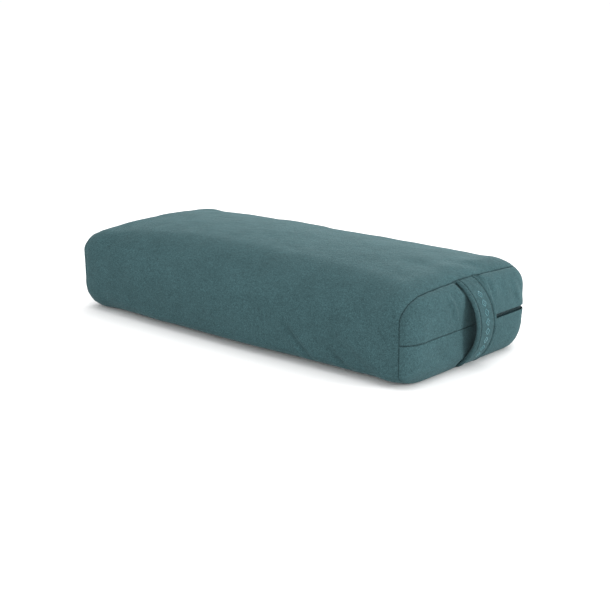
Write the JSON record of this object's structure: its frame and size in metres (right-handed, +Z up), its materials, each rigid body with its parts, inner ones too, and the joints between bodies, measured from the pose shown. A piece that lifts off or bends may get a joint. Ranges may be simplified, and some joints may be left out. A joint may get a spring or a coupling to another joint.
{
  "type": "bolster pillow",
  "caption": "Firm rectangular yoga bolster with crowned top, puffed ends, a removable zipped suede cover and a bowed carrying strap across one end.",
  "frame": {"origin": "centre of the underside, midway between the two end seams, in the plane the bolster rests on", "axes": "+X along the length towards the handle end, +Y towards the long side that carries the zip's back run, +Z up"},
  "size_m": [0.6815, 0.32, 0.1365],
  "materials": {
    "cover_suede": "brushed microfibre suede, matt with a soft nap",
    "handle_suede": "brushed microfibre suede, matt",
    "padding": "soft felted webbing",
    "sewing_thread": "twisted polyester thread, low sheen",
    "embroidery_thread": "satin-stitched rayon thread, silky sheen",
    "zip_tape": "woven herringbone tape, matt",
    "zip_coil": "dyed nylon monofilament coil, satin",
    "zip_metal": "baked enamel, satin",
    "zip_stop_metal": "crimped strip, satin",
    "liner_cloth": "plain-woven cotton, matt",
    "fibre": "packed recycled fibre, matt"
  },
  "bodies": {
    "bolster": {"cover_wrap": "cover_suede", "far_end_panel": "cover_suede", "handle_end_upper_panel": "cover_suede", "handle_end_lower_panel": "cover_suede", "handle_face": "handle_suede", "handle_back": "handle_suede", "handle_padding": "padding", "handle_stitching": "sewing_thread", "handle_motif": "embroidery_thread", "zip_tape_upper": "zip_tape", "zip_tape_lower": "zip_tape", "zip_coil_upper": "zip_coil", "zip_coil_lower": "zip_coil", "zip_top_stops": "zip_stop_metal", "zip_bottom_stop": "zip_stop_metal", "liner_body": "liner_cloth", "liner_handle_end": "liner_cloth", "liner_far_end": "liner_cloth", "fibre_fill": "fibre"},
    "slider": {"zip_slider": "zip_metal"},
    "pull": {"zip_pull_tab": "zip_metal"}
  },
  "joints": [
    {"name": "zip_slide", "type": "slide", "parent": "bolster", "child": "slider", "axis": [0, 1, 0], "range_m": [0, 0.095], "deforming": ["zip_coil_upper", "zip_coil_lower"]},
    {"name": "pull_swing", "type": "hinge", "parent": "slider", "child": "pull", "pos_m": [0.3313, 0.016, 0.061], "axis": [0, 0, -1], "range_deg": [0, 180]}
  ]
}
